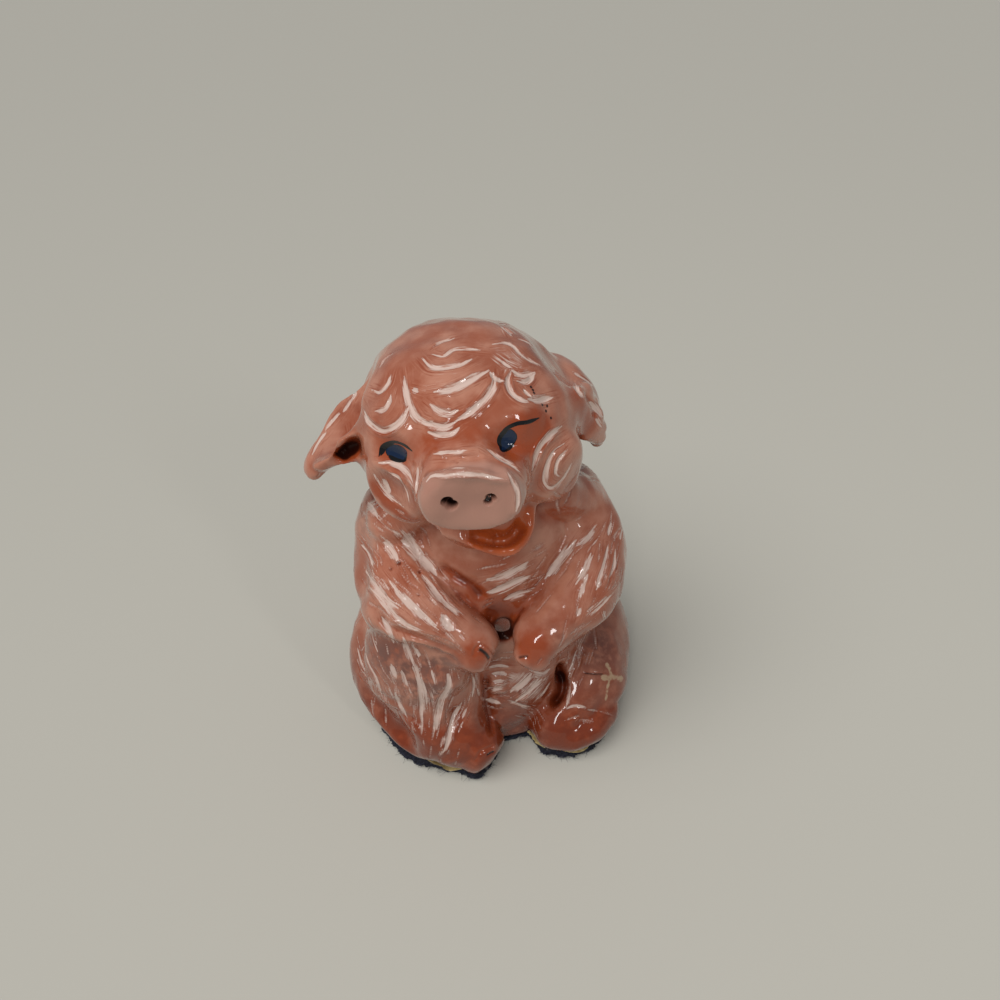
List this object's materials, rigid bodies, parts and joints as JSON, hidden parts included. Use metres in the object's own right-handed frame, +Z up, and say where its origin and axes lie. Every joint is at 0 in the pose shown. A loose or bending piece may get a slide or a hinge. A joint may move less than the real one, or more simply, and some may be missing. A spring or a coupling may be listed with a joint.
{
  "type": "pig figurine",
  "caption": "Seated hand-built clay pig with floppy ears, a flat snout and forelegs folded over its belly, glazed and standing on a felt pad.",
  "frame": {"origin": "on the table under the middle of the torso, on the underside of the felt pad", "axes": "+Z up, -Y the way the pig faces, -X the pig's own right side"},
  "size_m": [0.0813, 0.0705, 0.111],
  "materials": {
    "glazed_clay": "gloss",
    "snout_clay": "gloss",
    "slab_clay": "satin",
    "glue": "gloss",
    "felt": "fuzzy"
  },
  "bodies": {
    "root": {"torso_shell": "glazed_clay", "base_slab": "slab_clay", "head_shell": "glazed_clay", "snout": "snout_clay", "lower_jaw": "glazed_clay", "right_cheek": "glazed_clay", "left_cheek": "glazed_clay", "right_ear": "glazed_clay", "left_ear": "glazed_clay", "right_foreleg": "glazed_clay", "left_foreleg": "glazed_clay", "right_hind_leg": "glazed_clay", "left_hind_leg": "glazed_clay", "tail": "glazed_clay", "glue_film": "glue", "felt_pad": "felt"}
  },
  "joints": []
}
